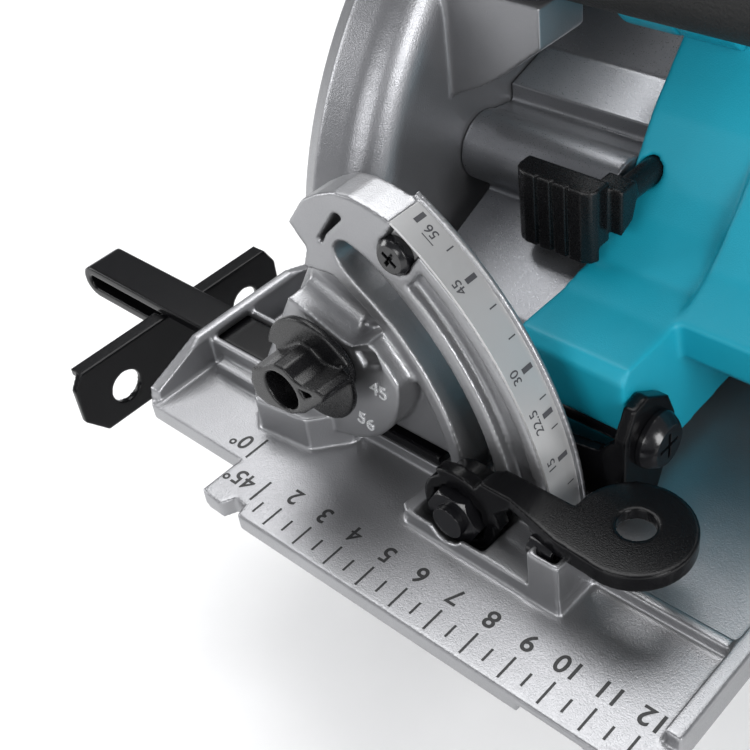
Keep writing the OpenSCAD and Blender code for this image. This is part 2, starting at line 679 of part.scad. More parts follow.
module stator() color([0.5, 0.3, 0.15]) on_deck() difference() {
    rod_x(76, 120, motor_y, motor_z, motor_r - 3.02);
    rod_x(75, 121, motor_y, motor_z, 23);
    for (i = [0:5]) translate([0, motor_y, motor_z]) rotate([60 * i, 0, 0]) block(75, 121, -3, 3, 20, 33);
}

module bearing(x0, x1, r_in, r_out) difference() {
    rod_x(x0, x1, 0, 0, r_out);
    rod_x(x0 - 1, x1 + 1, 0, 0, r_in);
    tube_x(x0 - 0.1, x0 + 0.5, 0, 0, r_out * 0.86, r_in * 1.22);
    tube_x(x1 - 0.5, x1 + 0.1, 0, 0, r_out * 0.86, r_in * 1.22);
}

module spindle_bearings() color("silver") on_deck() at_arbor() {
    bearing(7, 17, 8.55, 17.5);
    bearing(46.1, 53, 6.05, 14);
}

module motor_bearings() color("silver") on_deck() translate([0, motor_y, motor_z]) {
    bearing(46.1, 53, 4.05, 11);
    bearing(152, 159, 4.05, 9.45);
}

module guard_retainer() color("dimgray") on_deck() at_arbor() difference() {
    rod_x(5.1, 5.8, 0, 0, boss_r + 2);
    rod_x(5, 6, 0, 0, boss_r - 0.75);
    block(0, 10, -3, 3, -40, 0);
}

module guard_spring() color("silver") on_deck() at_arbor() along_x(7.8, 0, 0)
    rotate_extrude() translate([boss_r + 1.2, 0]) circle(0.6, $fn = 24);

// ---- saw head: handle and electrics ----

module handle_outline(more) for (i = [0:len(grip_path) - 2]) {
    p = grip_path[i];
    q = grip_path[i + 1];
    link([p[0], p[1]], p[2] + more, [q[0], q[1]], q[2] + more);
}

module handle_shell(x0, x1) difference() {
    slab_yz(x0, x1 - x0) difference() {
        handle_outline(0);
        translate([motor_y, motor_z]) circle(motor_r + 0.05);
        translate([0, -0.05]) polygon([[100, 60], [214, 60], [214, 96.1], [275, 96.1], [275, 60]]);
    }
    slab_yz(motor_x - 0.05, handle_w) nose_outline();
    block(handle_x + 4, handle_x + handle_w - 4, 177.5, 202.5, 130, 168.5);
    rod_x(handle_x - 1, handle_x + handle_w + 1, 163, 150, 5 + clear);
    handle_screw_places() {
        rod_x(handle_x + 5, handle_x + handle_w + 1, 0, 0, 1.6);
        rod_x(handle_x + handle_w - 3, handle_x + handle_w + 1, 0, 0, 3.4);
    }
}

module handle_screw_places() for (p = [[134, 110], [147, 130], [239, 146], [214, 107]])
    translate([0, p[0], p[1]]) children();

module handle_left() color([0.05, 0.48, 0.56]) on_deck()
    handle_shell(handle_x, handle_x + handle_w / 2 - 0.02);

module handle_right() color([0.05, 0.48, 0.56]) on_deck()
    handle_shell(handle_x + handle_w / 2 + 0.02, handle_x + handle_w);

module handle_screws() color("dimgray") on_deck() handle_screw_places() {
    rod_x(handle_x + 6, handle_x + handle_w - 3, 0, 0, 1.55);
    rod_x(handle_x + handle_w - 3, handle_x + handle_w - 0.6, 0, 0, 3.2);
}

// Soft strap over the top and back of the grip
module handle_grip() color([0.06, 0.06, 0.07]) on_deck() slab_yz(handle_x, handle_w) difference() {
    handle_outline(1.6);
    handle_outline(0.03);
    polygon([[90, 60], [90, 220], [178, 220], [178, 162], [226, 158], [250, 132], [275, 132], [275, 60]]);
}

module trigger_switch() color([0.1, 0.1, 0.1]) on_deck()
    block(handle_x + 6, handle_x + handle_w - 6, 180, 200, 157, 168);

module controller_board() color([0.05, 0.3, 0.15]) on_deck() block(64, 116, 198.5, 201, 36, 80);
module terminal_block() color([0.12, 0.12, 0.12]) on_deck() block(71, 109, 202, 214.5, 46, 70);

module trigger() color([0.06, 0.06, 0.06]) on_deck() slab_yz(handle_x + 5, handle_w - 10)
    polygon([[178.5, 151.5], [180, 142], [184, 137], [198, 139], [201.5, 146], [201.5, 151.5]]);

module lock_off_button() color([0.06, 0.06, 0.06]) on_deck()
    rod_x(handle_x - 4, handle_x + handle_w - 1, 163, 150, 5);

module front_handle() color([0.06, 0.06, 0.07]) on_deck() difference() {
    union() {
        rod_x(12, 96, 99, 108, 13);
        along_x(96, 99, 108) cylinder(h = 5, r1 = 13, r2 = 9);
        slab_yz(41, 26) link([99, 108], 12.9, [114, 104], 9);
    }
    slab_yz(30, 60) {
        handle_outline(0.1);
        translate([motor_y, motor_z]) circle(motor_r + 0.1);
    }
    block(0, bridge_x + 0.1, bridge_y - 0.1, bridge_y + bridge_t + 0.1, 80, bridge_top + 0.05);
}

// ---- depth lock and dust outlet ----

module depth_lock_bolt() color("dimgray") on_deck() {
    rod_x(6.9, 8.6, lock_y, lock_z, 6.5);
    rod_x(8, 33.5, lock_y, lock_z, bolt_r);
    along_x(28.1, lock_y, lock_z) cylinder(h = 4, r = 7, $fn = 6);
}

module dust_nozzle() color([0.06, 0.06, 0.06]) on_deck() dust_axis() difference() {
    union() {
        translate([0, 0, 6]) cylinder(h = 44, r = 12.3);
        translate([0, 0, 24.1]) cylinder(h = 3, r = 15);
    }
    translate([0, 0, 5]) cylinder(h = 46, r = 10.5);
}

module depth_lever() color([0.06, 0.06, 0.06]) on_deck() difference() {
    union() {
        rod_x(18, 28, lock_y, lock_z, 9);
        slab_yz(22, 6) translate([lock_y, lock_z]) rotate(115) link([0, 0], 8.5, [46, 0], 6);
    }
    rod_x(17, 40, lock_y, lock_z, bolt_r + clear);
}

// ---- guard ----

module lower_guard() color([0.6, 0.61, 0.63]) on_deck() at_arbor() {
    slab_yz(guard_right - guard_wall + 0.05, guard_wall - 0.05) difference() {
        union() {
            ring_sector(30, guard_r, 172, 352);
            circle(34);
        }
        circle(boss_r + clear);
    }
    slab_yz(guard_left, guard_wall) ring_sector(62, guard_r, 172, 352);
    slab_yz(guard_left, guard_right - guard_left) ring_sector(guard_r - guard_wall, guard_r, 172, 352);
}

module guard_lever() color([0.06, 0.06, 0.06]) on_deck() at_arbor() slab_yz(guard_left - 5.2, 5.15)
    rotate(212) link([80, 0], 5, [92, 0], 4);

// ---- spindle and blade ----

module spindle() color("silver") on_deck() at_arbor() difference() {
    union() {
        rod_x(-0.8, 4.65, 0, 0, 6);
        rod_x(4.65, 44, 0, 0, 8.5);
        rod_x(17.2, 19.4, 0, 0, 12);
        rod_x(44, 54, 0, 0, 6);
    }
    rod_x(-2, 15, 0, 0, bolt_r + 0.01);
}

module driven_gear() color([0.4, 0.4, 0.42]) on_deck() at_arbor() slab_yz(20, 12) difference() {
    gear_outline(gear_teeth, mesh_a);
    circle(8.5 + 0.01);
    for (i = [0:5]) rotate(60 * i) translate([13.5, 0]) circle(2.5);
}

module inner_flange() color("silver") on_deck() at_arbor() difference() {
    union() {
        rod_x(blade_t / 2 + 0.02, 4.6, 0, 0, 19);
        rod_x(-blade_t / 2, blade_t / 2 + 1, 0, 0, 9.95);
    }
    rod_x(-2, 6, 0, 0, 6.01);
}

module outer_flange() color("silver") on_deck() at_arbor() difference() {
    rod_x(-4.9, -blade_t / 2 - 0.02, 0, 0, 19);
    rod_x(-6, 0, 0, 0, bolt_r + clear);
}

module blade_bolt() color([0.2, 0.2, 0.2]) on_deck() at_arbor() {
    along_x(-10.5, 0, 0) cylinder(h = 4.5, r = 7.5, $fn = 6);
    rod_x(-6.5, -4.92, 0, 0, 9);
    rod_x(-6, 14, 0, 0, bolt_r);
}

// Points of one tooth: share of the blade's radius against share of the pitch
function tooth() = [[1, 0], [0.992, 0.22], [0.958, 0.5], [0.93, 0.72], [0.932, 0.93]];

module saw_blade() color([0.75, 0.76, 0.78]) on_deck() at_arbor()
slab_yz(-blade_t / 2, blade_t) difference() {
    polygon([for (i = [0:blade_teeth - 1], p = tooth()) let (a = (i + p[1]) * 360 / blade_teeth)
        blade_r * p[0] * [cos(a), sin(a)]]);
    circle(10);
    for (i = [0:3]) rotate(90 * i + 22) translate([64, 0]) circle(3);
}

module rotor_shaft() color("silver") on_deck() translate([0, motor_y, motor_z]) {
    rod_x(32.5, 159.1, 0, 0, 4);
    slab_yz(19, 14) gear_outline(pinion_teeth, mesh_a + 180 + 180 / pinion_teeth);
}

module rotor_core() color([0.35, 0.35, 0.37]) on_deck() translate([0, motor_y, motor_z])
    tube_x(76, 120, 0, 0, 22, 4.01);

module cooling_fan() color([0.1, 0.1, 0.1]) on_deck() translate([0, motor_y, motor_z]) {
    tube_x(61, 71, 0, 0, 9, 4.01);
    tube_x(61, 62.5, 0, 0, 38, 8.5);
    for (i = [0:10]) rotate([i * 360 / 11, 0, 0]) block(62, 71, -0.8, 0.8, 8.8, 36);
}

// ---- battery and spindle lock ----

module battery_case() color([0.07, 0.07, 0.08]) on_deck() difference() {
    union() {
        block(battery_x, battery_x + battery_w, battery_y, battery_y + battery_len,
            battery_z, battery_z + battery_h);
        // rail that slides into the shoe
        block(73, 107, battery_y + 4, 270, 87, 91);
        block(69, 111, battery_y + 4, 270, 90.5, 92.6);
    }
    block(battery_x + 3, battery_x + battery_w - 3, battery_y + 3, battery_y + battery_len - 3,
        battery_z + 3, battery_z + 40);
    block(75.5, 104.5, battery_y + battery_len - 7, battery_y + battery_len + 1,
        battery_z + 41, battery_z + 58);
    for (x = [battery_x - 1, battery_x + battery_w - 1.2])
        block(x, x + 2.2, battery_y + 14, battery_y + 74, 44, 48);
}

module battery_cells() color([0.2, 0.35, 0.6]) on_deck() for (i = [0:4], j = [0, 1])
    rod_x(battery_x + 5, battery_x + 70, battery_y + 3.2 + 8.2 + 16.4 * i, battery_z + 12 + 18 * j, cell_r);

module battery_latch() color([0.6, 0.1, 0.08]) on_deck()
    block(76, 104, battery_y + battery_len - 6.5, battery_y + battery_len + 2.5,
        battery_z + 45.5, battery_z + 57.5);

module shaft_lock_lever() color([0.06, 0.06, 0.07]) on_deck() {
    difference() {
        slab_xy(43, 19) polygon([[37, 80.5], [37.4, 79], [38.6, 77.8], [40.5, 77], [56, 77],
            [58.2, 77.9], [59, 79.6], [59, 84], [37, 84]]);
        for (x = [43.4, 47.6, 51.8]) block(x, x + 0.9, 76, 77.9, 42, 63);
        // corner that would meet the motor housing when pressed
        block(54.8, 60, 80.2, 85, 42, 46.5);
    }
    slab_yz(motor_x + 0.2, 7.3) polygon([[83.5, 49], [83.5, 60.5], [89.5, 60.5], [90, 57], [88, 51]]);
    rod_y(88, 107, lock_pin_x, lock_pin_z, 3);
}

base_casting();
scale_plate();
scale_screw();
stop_set_screw();
bevel_pivot_pins();
fence_bar();
fence_face();
fence_clamp_screw();
stop_knob();
stop_shaft();
front_tilt_bracket();
rear_tilt_bracket();
depth_guide();
guide_rivets();
lock_bolt();
lock_washer();
hinge_bolt();
hinge_clip();
bevel_lever();
lock_nut();
blade_case();
case_screws();
gear_case();
gear_cover();
motor_housing();
motor_end_cap();
end_cap_screws();
stator();
spindle_bearings();
motor_bearings();
guard_retainer();
guard_spring();
handle_left();
handle_right();
handle_screws();
handle_grip();
trigger_switch();
controller_board();
terminal_block();
front_handle();
depth_lock_bolt();
dust_nozzle();
depth_lever();
lower_guard();
guard_lever();
spindle();
driven_gear();
inner_flange();
outer_flange();
blade_bolt();
saw_blade();
rotor_shaft();
rotor_core();
cooling_fan();
trigger();
lock_off_button();
battery_case();
battery_cells();
battery_latch();
shaft_lock_lever();
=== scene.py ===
import bmesh
import bpy
import json
import math
from mathutils import Matrix, Vector

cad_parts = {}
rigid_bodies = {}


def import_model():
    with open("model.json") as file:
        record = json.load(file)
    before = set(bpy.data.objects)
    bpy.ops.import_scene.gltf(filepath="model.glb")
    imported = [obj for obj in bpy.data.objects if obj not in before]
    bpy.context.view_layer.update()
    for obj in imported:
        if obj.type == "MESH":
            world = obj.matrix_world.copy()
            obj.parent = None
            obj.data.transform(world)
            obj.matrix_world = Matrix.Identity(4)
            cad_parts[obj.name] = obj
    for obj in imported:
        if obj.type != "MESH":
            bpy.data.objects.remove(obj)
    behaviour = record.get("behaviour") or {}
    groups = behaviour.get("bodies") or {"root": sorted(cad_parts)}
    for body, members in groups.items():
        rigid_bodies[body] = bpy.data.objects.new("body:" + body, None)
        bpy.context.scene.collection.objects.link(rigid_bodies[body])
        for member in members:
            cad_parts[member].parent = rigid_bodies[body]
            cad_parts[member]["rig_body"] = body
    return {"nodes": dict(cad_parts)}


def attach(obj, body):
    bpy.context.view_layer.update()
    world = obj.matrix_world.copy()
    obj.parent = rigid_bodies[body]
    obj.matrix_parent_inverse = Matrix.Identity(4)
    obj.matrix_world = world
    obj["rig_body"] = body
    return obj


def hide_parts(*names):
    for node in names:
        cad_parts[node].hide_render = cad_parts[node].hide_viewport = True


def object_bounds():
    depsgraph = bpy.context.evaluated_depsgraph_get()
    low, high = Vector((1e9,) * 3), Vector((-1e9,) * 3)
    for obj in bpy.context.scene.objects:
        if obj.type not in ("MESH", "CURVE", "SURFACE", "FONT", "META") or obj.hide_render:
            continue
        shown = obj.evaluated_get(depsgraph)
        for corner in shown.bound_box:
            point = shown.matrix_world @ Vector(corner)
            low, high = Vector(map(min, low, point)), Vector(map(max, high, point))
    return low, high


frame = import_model()
cad_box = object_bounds()
nodes = frame["nodes"]

# Lengths in the constants below are in millimetres unless a comment says otherwise.
MM = 0.001               # one millimetre in scene units
DECK = 5.0               # height of the deck above the sole
PIVOT_X = -5.8           # bevel axis, from the kerf line
SCALE_R = 85.1           # radius of the degree scale about the bevel axis
DIAL_FRONT_Y = 29.95     # middle plane of the dial numbers; the boss's front face is at 30
WELD_M = 2e-6            # vertices of a CAD mesh closer than this are one, in metres


# ---- materials ----

BLOTCH_SCALE = 45        # slow colour variation, noise cells per metre
NOISE_DETAIL = 3
NOISE_LOW, NOISE_HIGH = 0.3, 0.7     # share of the noise's range that is mapped
ROUGH_SPREAD = 0.06      # roughness varies by this much either way
ROUGH_MIN = 0.02
BEVEL_SAMPLES = 4


def new_material(name):
    material = bpy.data.materials.new(name)
    material.use_nodes = True
    tree = material.node_tree
    tree.nodes.clear()
    out = tree.nodes.new("ShaderNodeOutputMaterial")
    bsdf = tree.nodes.new("ShaderNodeBsdfPrincipled")
    tree.links.new(bsdf.outputs[0], out.inputs[0])
    return material, tree, bsdf


def noise(tree, scale, stretch=(1, 1, 1)):
    coords = tree.nodes.new("ShaderNodeTexCoord")
    mapping = tree.nodes.new("ShaderNodeMapping")
    mapping.inputs["Scale"].default_value = stretch
    texture = tree.nodes.new("ShaderNodeTexNoise")
    texture.inputs["Scale"].default_value = scale
    texture.inputs["Detail"].default_value = NOISE_DETAIL
    tree.links.new(coords.outputs["Object"], mapping.inputs["Vector"])
    tree.links.new(mapping.outputs[0], texture.inputs["Vector"])
    return texture.outputs["Fac"]


def ramp(tree, value, low, high):
    """Maps the middle of the noise's range onto low to high."""
    node = tree.nodes.new("ShaderNodeMapRange")
    node.inputs["From Min"].default_value = NOISE_LOW
    node.inputs["From Max"].default_value = NOISE_HIGH
    node.inputs["To Min"].default_value = low
    node.inputs["To Max"].default_value = high
    tree.links.new(value, node.inputs["Value"])
    return node.outputs[0]


def mix_colour(tree, value, low, high):
    node = tree.nodes.new("ShaderNodeMix")
    node.data_type = "RGBA"
    node.inputs["A"].default_value = (*low, 1)
    node.inputs["B"].default_value = (*high, 1)
    tree.links.new(value, node.inputs["Factor"])
    return node.outputs["Result"]


def surface(name, colour, rough, metal=0.0, grain=(900, 0.25, 0.0002), blotch=0.12,
            bevel=0.0, stretch=(1, 1, 1), specular=0.5):
    """A procedural material with slow blotches of colour, a roughness that varies and a fine grain.

    grain is the noise's cells per metre, the bump's strength and its depth in metres; blotch is
    the share by which the colour varies; bevel is the radius of shaded edges in millimetres.
    """
    material, tree, bsdf = new_material(name)
    slow = ramp(tree, noise(tree, BLOTCH_SCALE), 0, 1)
    dark = tuple(c * (1 - blotch) for c in colour)
    light = tuple(min(1, c * (1 + blotch)) for c in colour)
    tree.links.new(mix_colour(tree, slow, dark, light), bsdf.inputs["Base Color"])

    cells, strength, depth = grain
    fine = noise(tree, cells, stretch)
    rough_value = ramp(tree, fine, max(ROUGH_MIN, rough - ROUGH_SPREAD), rough + ROUGH_SPREAD)
    tree.links.new(rough_value, bsdf.inputs["Roughness"])
    bsdf.inputs["Metallic"].default_value = metal
    bsdf.inputs["Specular IOR Level"].default_value = specular

    bump = tree.nodes.new("ShaderNodeBump")
    bump.inputs["Strength"].default_value = strength
    bump.inputs["Distance"].default_value = depth
    tree.links.new(fine, bump.inputs["Height"])
    if bevel:
        edge = tree.nodes.new("ShaderNodeBevel")
        edge.samples = BEVEL_SAMPLES
        edge.inputs["Radius"].default_value = bevel * MM
        tree.links.new(edge.outputs[0], bump.inputs["Normal"])
    tree.links.new(bump.outputs[0], bsdf.inputs["Normal"])
    return material


MAT = {
    "cast": surface("cast_alloy", (0.3, 0.302, 0.312), 0.36, metal=0.85,
                    grain=(2900, 0.35, 0.0002), blotch=0.07),
    "bright": surface("raised_digits", (0.8, 0.81, 0.82), 0.3, metal=0.6,
                      grain=(3600, 0.1, 0.0001), blotch=0.05),
    # Blade case: the cast alloy given a darker colour, which is painted shade on the case.
    "case": surface("case_alloy_painted_shade", (0.22, 0.222, 0.232), 0.34, metal=0.75,
                    grain=(2900, 0.3, 0.0002), blotch=0.07),
    "hood": surface("hood_alloy", (0.26, 0.265, 0.28), 0.32, metal=0.8,
                    grain=(3200, 0.16, 0.0002), blotch=0.07),
    "scale": surface("scale_plate_metal", (0.5, 0.5, 0.5), 0.34, metal=0.65,
                     grain=(700, 0.08, 0.0001), blotch=0.03, bevel=0.15, stretch=(1, 12, 1)),
    "black_steel": surface("black_coated_steel", (0.0025, 0.0025, 0.003), 0.2,
                           grain=(2600, 0.12, 0.0002), blotch=0.1, bevel=0.5, specular=0.2),
    "screw": surface("black_oxide", (0.005, 0.005, 0.006), 0.2,
                     grain=(2400, 0.1, 0.0002), bevel=0.3),
    "steel": surface("machined_steel", (0.42, 0.42, 0.43), 0.3, metal=1.0,
                     grain=(1200, 0.1, 0.0002), bevel=0.25),
    "blade": surface("blade_steel", (0.5, 0.51, 0.53), 0.25, metal=1.0,
                     grain=(500, 0.1, 0.0001), bevel=0.1, stretch=(1, 1, 10)),
    "teal": surface("teal_shell", (0.006, 0.27, 0.37), 0.45,
                    grain=(3600, 0.3, 0.0002), blotch=0.05, bevel=0.6, specular=0.35),
    "black": surface("black_moulding", (0.004, 0.004, 0.0045), 0.27,
                     grain=(3600, 0.15, 0.0002), bevel=0.5, specular=0.35),
    "rubber": surface("grip_rubber", (0.012, 0.012, 0.012), 0.6,
                      grain=(1300, 0.6, 0.0004), bevel=0.5, specular=0.3),
    "copper": surface("winding_copper", (0.5, 0.2, 0.07), 0.35, metal=0.9,
                      grain=(300, 0.6, 0.0006), bevel=0.3, stretch=(1, 8, 8)),
    "board": surface("board_green", (0.01, 0.12, 0.05), 0.3,
                     grain=(600, 0.3, 0.0002), bevel=0.3),
    "cell": surface("cell_wrap", (0.04, 0.16, 0.42), 0.25,
                    grain=(400, 0.1, 0.0001), bevel=0.3),
    "red": surface("red_button", (0.42, 0.02, 0.015), 0.35,
                   grain=(1500, 0.2, 0.0002), bevel=0.5),
    "ink": surface("scale_ink", (0.008, 0.008, 0.009), 0.5,
                   grain=(2000, 0.2, 0.0001), blotch=0.2),
    "grey_ink": surface("scale_grey_ink", (0.045, 0.045, 0.05), 0.5,
                        grain=(2000, 0.2, 0.0001), blotch=0.2),
}

# CAD nodes that keep their own mesh, by material.
CAD_MATERIALS = {
    "scale": ["scale_plate"],
    "black_steel": ["lock_washer"],
    "screw": ["scale_screw", "stop_set_screw", "fence_clamp_screw", "lock_bolt", "hinge_bolt",
              "lock_nut", "case_screws", "end_cap_screws", "handle_screws", "depth_lock_bolt",
              "blade_bolt"],
    "steel": ["bevel_pivot_pins", "stop_shaft", "depth_guide", "guide_rivets", "hinge_clip",
              "spindle_bearings", "motor_bearings", "guard_retainer", "guard_spring",
              "lower_guard", "spindle", "driven_gear", "inner_flange", "outer_flange",
              "rotor_shaft", "rotor_core"],
    "blade": ["saw_blade"],
    "hood": ["gear_cover"],
    "black": ["trigger_switch", "terminal_block", "guard_lever", "cooling_fan", "trigger",
              "lock_off_button"],
    "copper": ["stator"],
    "board": ["controller_board"],
    "cell": ["battery_cells"],
    "red": ["battery_latch"],
}


def paint(obj, key):
    obj.data.materials.clear()
    obj.data.materials.append(MAT[key])
    for polygon in obj.data.polygons:
        polygon.material_index = 0


for material_key, names in CAD_MATERIALS.items():
    for node_name in names:
        paint(nodes[node_name], material_key)


# ---- smoothed skins of the cast, moulded and coated pieces ----

RELAX_FACTOR = 0.5

# CAD node, voxel size, smoothing passes, material, material slot, share of faces kept
SKINS = [
    ("base_casting", 0.55, 4, "cast", "cast_alloy", 0.35),
    ("fence_bar", 0.4, 4, "black_steel", "black_steel", 0.4),
    ("fence_face", 0.4, 3, "black_steel", "black_steel", 0.4),
    ("stop_knob", 0.3, 4, "black", "black_plastic", 0.6),
    ("front_tilt_bracket", 0.4, 4, "black_steel", "black_steel", 0.5),
    ("rear_tilt_bracket", 0.4, 4, "black_steel", "black_steel", 0.5),
    ("bevel_lever", 0.35, 5, "black_steel", "black_steel", 0.6),
    ("blade_case", 0.55, 5, "case", "cast_alloy", 0.3),
    ("gear_case", 0.55, 5, "hood", "cast_alloy", 0.4),
    ("motor_housing", 0.7, 6, "teal", "teal_plastic", 0.4),
    ("motor_end_cap", 0.6, 5, "black", "black_plastic", 0.4),
    ("front_handle", 0.6, 8, "rubber", "grip_rubber", 0.5),
    ("dust_nozzle", 0.5, 3, "black", "black_plastic", 0.5),
    ("depth_lever", 0.5, 5, "black", "black_plastic", 0.5),
    ("battery_case", 0.7, 5, "black", "black_plastic", 0.3),
    ("shaft_lock_lever", 0.35, 3, "black", "black_plastic", 0.6),
    ("handle_left", 0.7, 6, "teal", "teal_plastic", 0.4),
    ("handle_right", 0.7, 6, "teal", "teal_plastic", 0.4),
    ("handle_grip", 0.5, 3, "rubber", "grip_rubber", 0.5),
]


def link(obj):
    bpy.context.scene.collection.objects.link(obj)
    return obj


def from_bmesh(name, bm):
    mesh = bpy.data.meshes.new(name)
    bm.to_mesh(mesh)
    bm.free()
    return link(bpy.data.objects.new(name, mesh))


def evaluated_mesh(obj):
    """The object's mesh with its modifiers applied, or its curve as a mesh."""
    graph = bpy.context.evaluated_depsgraph_get()
    return bpy.data.meshes.new_from_object(obj.evaluated_get(graph))


def welded_copy(node_name):
    bm = bmesh.new()
    bm.from_mesh(nodes[node_name].data)
    bmesh.ops.remove_doubles(bm, verts=bm.verts, dist=WELD_M)
    return bm


def skin(node_name, voxel, passes, key, slot, kept):
    """Replaces a CAD node by its remeshed and smoothed mesh, so that every edge has a radius."""
    obj = from_bmesh(node_name + "_skin", welded_copy(node_name))
    remesh = obj.modifiers.new("remesh", "REMESH")
    remesh.mode = "VOXEL"
    remesh.voxel_size = voxel * MM
    relax = obj.modifiers.new("relax", "SMOOTH")
    relax.factor = RELAX_FACTOR
    relax.iterations = passes
    thin = obj.modifiers.new("thin", "DECIMATE")
    thin.ratio = kept
    mesh = evaluated_mesh(obj)
    obj.modifiers.clear()
    obj.data = mesh
    mesh.shade_smooth()
    paint(obj, key)
    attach(obj, nodes[node_name]["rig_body"])
    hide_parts(node_name)


for entry in SKINS:
    skin(*entry)


# ---- printed marks, and numbers ----

FLAT_CORNER = 0.2        # outline vertices whose directions nearly cancel stay in place
FONT_STEPS = 6           # curve resolution of the text

# The rule on the front edge of the base and the marks beside it, on the deck.
BASE_PRINT_LIFT = 0.04   # above the deck
RULE_STEP = 5
RULE_STEPS = range(3, 25)            # marks, in steps from the kerf line; even ones are long
RULE_LONG = (0.2, 6.45)              # Y extents of the marks
RULE_SHORT = (1.5, 5.2)
RULE_HALF_WIDTH = 0.3
RULE_NUMBERS = range(2, 13)          # in centimetres
RULE_NUMBER_Y, RULE_NUMBER_SIZE = 11.2, 6.4
KERF_MARKS = ((-0.35, 0.35, 13.2, 20.9), (11.25, 11.95, 3.8, 11))     # x0, x1, y0, y1
KERF_LABELS = (("0°", -5.4, 17.2, 6.6), ("45°", 4.2, 7.8, 6.6))      # text, x, y, size
BASE_TEXT_WEIGHT = 0.12

# The degree scale: angles in degrees along the arc, Y in millimetres.
SCALE_PRINT_LIFT = 0.03  # above the plate
BROAD_MARKS = ((56, 45, 30, 22.5, 15), 0.42, (40.1, 43.2))           # angles, half width, Y
FINE_MARKS = ((50, 40, 35, 25, 20, 10, 5), 0.11, (41.05, 43.2))
SCALE_UNDERLINE = (51.7, 54.1, 39.15, 39.4)                          # under the 56
SCALE_LABELS = (("56", 53.4, 41.35), ("45", 45, 38), ("30", 30, 38), ("22.5", 22.5, 38),
                ("15", 15, 38), ("5", 5, 38))                        # text, angle, Y
SCALE_TEXT_SIZE, SCALE_TEXT_WEIGHT = 3.35, 0.03

# Raised numbers round the stop knob: text, x, height above the deck, turn in degrees.
DIAL_LABELS = (("45", 34.0, 27.2, -4), ("56", 28.1, 14.7, -14), ("22.5", 8.5, 14, -75))
DIAL_TEXT_SIZE, DIAL_TEXT_DEPTH = 5.6, 0.16


def embolden(mesh, weight):
    """Moves the outline of flat text outwards by the weight; holes in the digits stay open."""
    bm = bmesh.new()
    bm.from_mesh(mesh)
    moves = {}
    for edge in bm.edges:
        if len(edge.link_faces) != 1:
            continue
        first, last = edge.verts
        along = (last.co - first.co).normalized()
        outwards = Vector((along.y, -along.x, 0))
        if outwards.dot(edge.link_faces[0].calc_center_median() - first.co) > 0:
            outwards = -outwards
        for vert in edge.verts:
            moves.setdefault(vert, []).append(outwards)
    for vert, directions in moves.items():
        total = sum(directions, Vector((0, 0, 0)))
        if total.length > FLAT_CORNER:
            vert.co += total.normalized() * weight
    bm.to_mesh(mesh)
    bm.free()


def text_mesh(body, size, weight=0.0, extrude=0.0):
    """Text as a mesh centred on its own origin, in millimetres; flat unless extruded."""
    curve = bpy.data.curves.new("label", "FONT")
    curve.body = body
    curve.size = size
    curve.extrude = extrude
    curve.align_x = "CENTER"
    curve.align_y = "CENTER"
    curve.resolution_u = FONT_STEPS
    holder = link(bpy.data.objects.new("label", curve))
    mesh = evaluated_mesh(holder)
    bpy.data.objects.remove(holder)
    if weight:
        embolden(mesh, weight)
    return mesh


def flat_strip(bm, x0, x1, y0, y1, z):
    corners = [bm.verts.new((x, y, z)) for x, y in ((x0, y0), (x1, y0), (x1, y1), (x0, y1))]
    bm.faces.new(corners)


def to_metres(bm):
    bmesh.ops.scale(bm, vec=(MM, MM, MM), verts=bm.verts)


def finish_print(name, bm, key):
    obj = from_bmesh(name, bm)
    paint(obj, key)
    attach(obj, "base")


def base_print():
    """Rule on the front edge and the two kerf marks, printed on the deck."""
    bm = bmesh.new()
    height = DECK + BASE_PRINT_LIFT
    for step in RULE_STEPS:
        x = step * RULE_STEP
        low, high = RULE_LONG if step % 2 == 0 else RULE_SHORT
        flat_strip(bm, x - RULE_HALF_WIDTH, x + RULE_HALF_WIDTH, low, high, height)
    for mark in KERF_MARKS:
        flat_strip(bm, *mark, height)
    turn = Matrix.Rotation(math.pi, 4, "Z")
    labels = [(str(n), 10 * n, RULE_NUMBER_Y, RULE_NUMBER_SIZE) for n in RULE_NUMBERS]
    labels += KERF_LABELS
    for body, x, y, size in labels:
        mesh = text_mesh(body, size, weight=BASE_TEXT_WEIGHT)
        mesh.transform(Matrix.Translation((x, y, height)) @ turn)
        bm.from_mesh(mesh)
    to_metres(bm)
    finish_print("base_print", bm, "ink")


def wrap_on_scale(bm):
    """Bends flat geometry, with x as degrees along the arc, onto the scale; result in metres."""
    for v in bm.verts:
        angle = math.radians(v.co.x)
        r = SCALE_R + v.co.z
        x = PIVOT_X + r * math.cos(angle)
        z = r * math.sin(angle) + DECK
        v.co = Vector((x * MM, v.co.y * MM, z * MM))


def scale_print():
    """Marks and numbers on the degree scale; the numbers read along the arc."""
    bm = bmesh.new()
    for angles, half_width, (low, high) in (BROAD_MARKS, FINE_MARKS):
        for angle in angles:
            flat_strip(bm, angle - half_width, angle + half_width, low, high, SCALE_PRINT_LIFT)
    flat_strip(bm, *SCALE_UNDERLINE, SCALE_PRINT_LIFT)
    degrees_per_mm = math.degrees(1 / SCALE_R)
    for body, angle, y in SCALE_LABELS:
        mesh = text_mesh(body, SCALE_TEXT_SIZE, weight=SCALE_TEXT_WEIGHT)
        mesh.transform(Matrix.Diagonal((degrees_per_mm, -1, 1, 1)))
        mesh.transform(Matrix.Translation((angle, y, SCALE_PRINT_LIFT)))
        bm.from_mesh(mesh)
    wrap_on_scale(bm)
    bmesh.ops.recalc_face_normals(bm, faces=bm.faces)
    finish_print("scale_print", bm, "grey_ink")


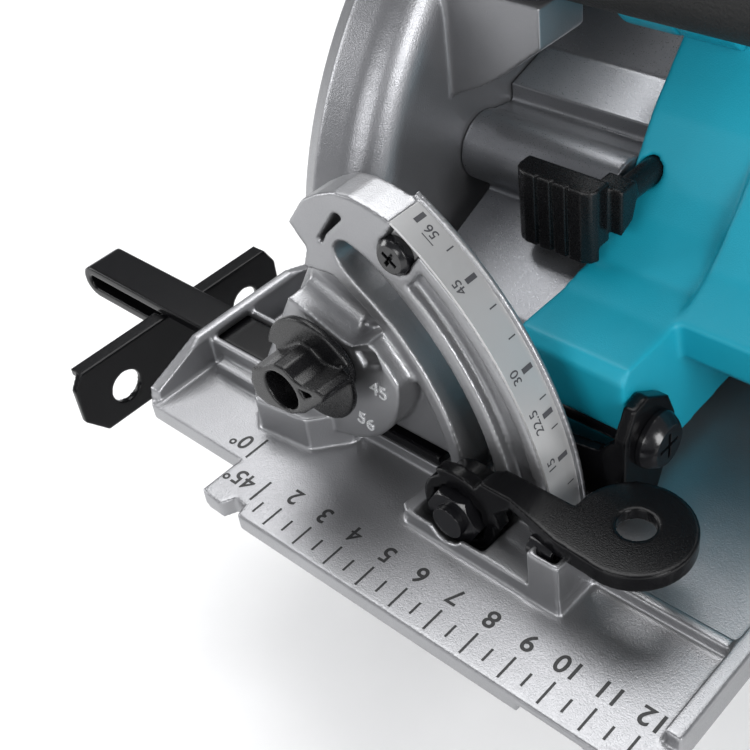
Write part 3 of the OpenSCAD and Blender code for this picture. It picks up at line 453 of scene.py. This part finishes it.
def dial_numbers():
    """Raised numbers round the stop knob."""
    bm = bmesh.new()
    for body, x, z, turn in DIAL_LABELS:
        mesh = text_mesh(body, DIAL_TEXT_SIZE, extrude=DIAL_TEXT_DEPTH)
        mesh.transform(Matrix.Rotation(math.radians(turn), 4, "Z"))
        mesh.transform(Matrix.Rotation(math.pi / 2, 4, "X"))
        mesh.transform(Matrix.Translation((x, DIAL_FRONT_Y, z + DECK)))
        bm.from_mesh(mesh)
    to_metres(bm)
    finish_print("dial_numbers", bm, "bright")


base_print()
scale_print()
dial_numbers()


# ---- floor, light, camera; lengths in metres ----

FLOOR_HALF_SIZE = 4
FLOOR_GAP = 0.0005       # below the lowest point of the saw
WORLD_COLOUR, WORLD_STRENGTH = (0.93, 0.95, 1.0, 1), 0.3

# name, place, aim, size, power in watts
LIGHTS = (
    ("key", (-0.25, 0.4, 0.85), (0.04, 0.05, 0.02), (0.8, 0.7), 8.5),
    ("front", (0.15, -0.85, 0.45), (0.03, 0.05, 0.03), (0.6, 0.3), 4),
    ("right", (0.85, -0.15, 0.4), (0.03, 0.05, 0.03), (0.35, 0.5), 6),
    ("left", (-0.8, -0.3, 0.3), (0.02, 0.05, 0.03), (0.3, 0.4), 3),
)

CAMERA_AZIMUTH, CAMERA_ELEVATION, CAMERA_ROLL = 48.509, 40.185, -8.85     # degrees
CAMERA_TARGET = (0.023083, 0.039373, 0.025)
CAMERA_DISTANCE = 0.30128
CAMERA_LENS, CAMERA_SENSOR = 60.64, 36   # mm
CAMERA_CLIP = 0.01


def add_floor():
    low, _ = cad_box
    bm = bmesh.new()
    bmesh.ops.create_grid(bm, x_segments=1, y_segments=1, size=FLOOR_HALF_SIZE)
    floor = from_bmesh("studio_floor", bm)
    floor.location = (0, 0, low[2] - FLOOR_GAP)
    paper = surface("studio_paper", (0.93, 0.93, 0.93), 0.7, grain=(60, 0.02, 0.001), blotch=0.01)
    floor.data.materials.append(paper)


def add_world():
    world = bpy.data.worlds.new("studio")
    world.use_nodes = True
    background = world.node_tree.nodes["Background"]
    background.inputs["Color"].default_value = WORLD_COLOUR
    background.inputs["Strength"].default_value = WORLD_STRENGTH
    bpy.context.scene.world = world


def add_area(name, place, aim, size, power):
    light = bpy.data.lights.new(name, "AREA")
    light.shape = "RECTANGLE"
    light.size, light.size_y = size
    light.energy = power
    lamp = link(bpy.data.objects.new(name, light))
    lamp.location = place
    lamp.rotation_euler = (Vector(aim) - Vector(place)).to_track_quat("-Z", "Y").to_euler()


def add_camera():
    azimuth, elevation, roll = map(math.radians, (CAMERA_AZIMUTH, CAMERA_ELEVATION, CAMERA_ROLL))
    back = Vector((math.sin(azimuth) * math.cos(elevation),
                   -math.cos(azimuth) * math.cos(elevation),
                   math.sin(elevation)))
    right = Vector((math.cos(azimuth), math.sin(azimuth), 0))
    up = back.cross(right)
    side = right * math.cos(roll) + up * math.sin(roll)
    top = up * math.cos(roll) - right * math.sin(roll)
    place = Vector(CAMERA_TARGET) + back * CAMERA_DISTANCE
    data = bpy.data.cameras.new("camera")
    data.sensor_width = CAMERA_SENSOR
    data.lens = CAMERA_LENS
    data.clip_start = CAMERA_CLIP
    camera = link(bpy.data.objects.new("camera", data))
    camera.matrix_world = Matrix((
        (side.x, top.x, back.x, place.x),
        (side.y, top.y, back.y, place.y),
        (side.z, top.z, back.z, place.z),
        (0, 0, 0, 1)))
    bpy.context.scene.camera = camera


add_floor()
add_world()
for lamp_values in LIGHTS:
    add_area(*lamp_values)
add_camera()
bpy.context.scene.view_settings.view_transform = "Standard"
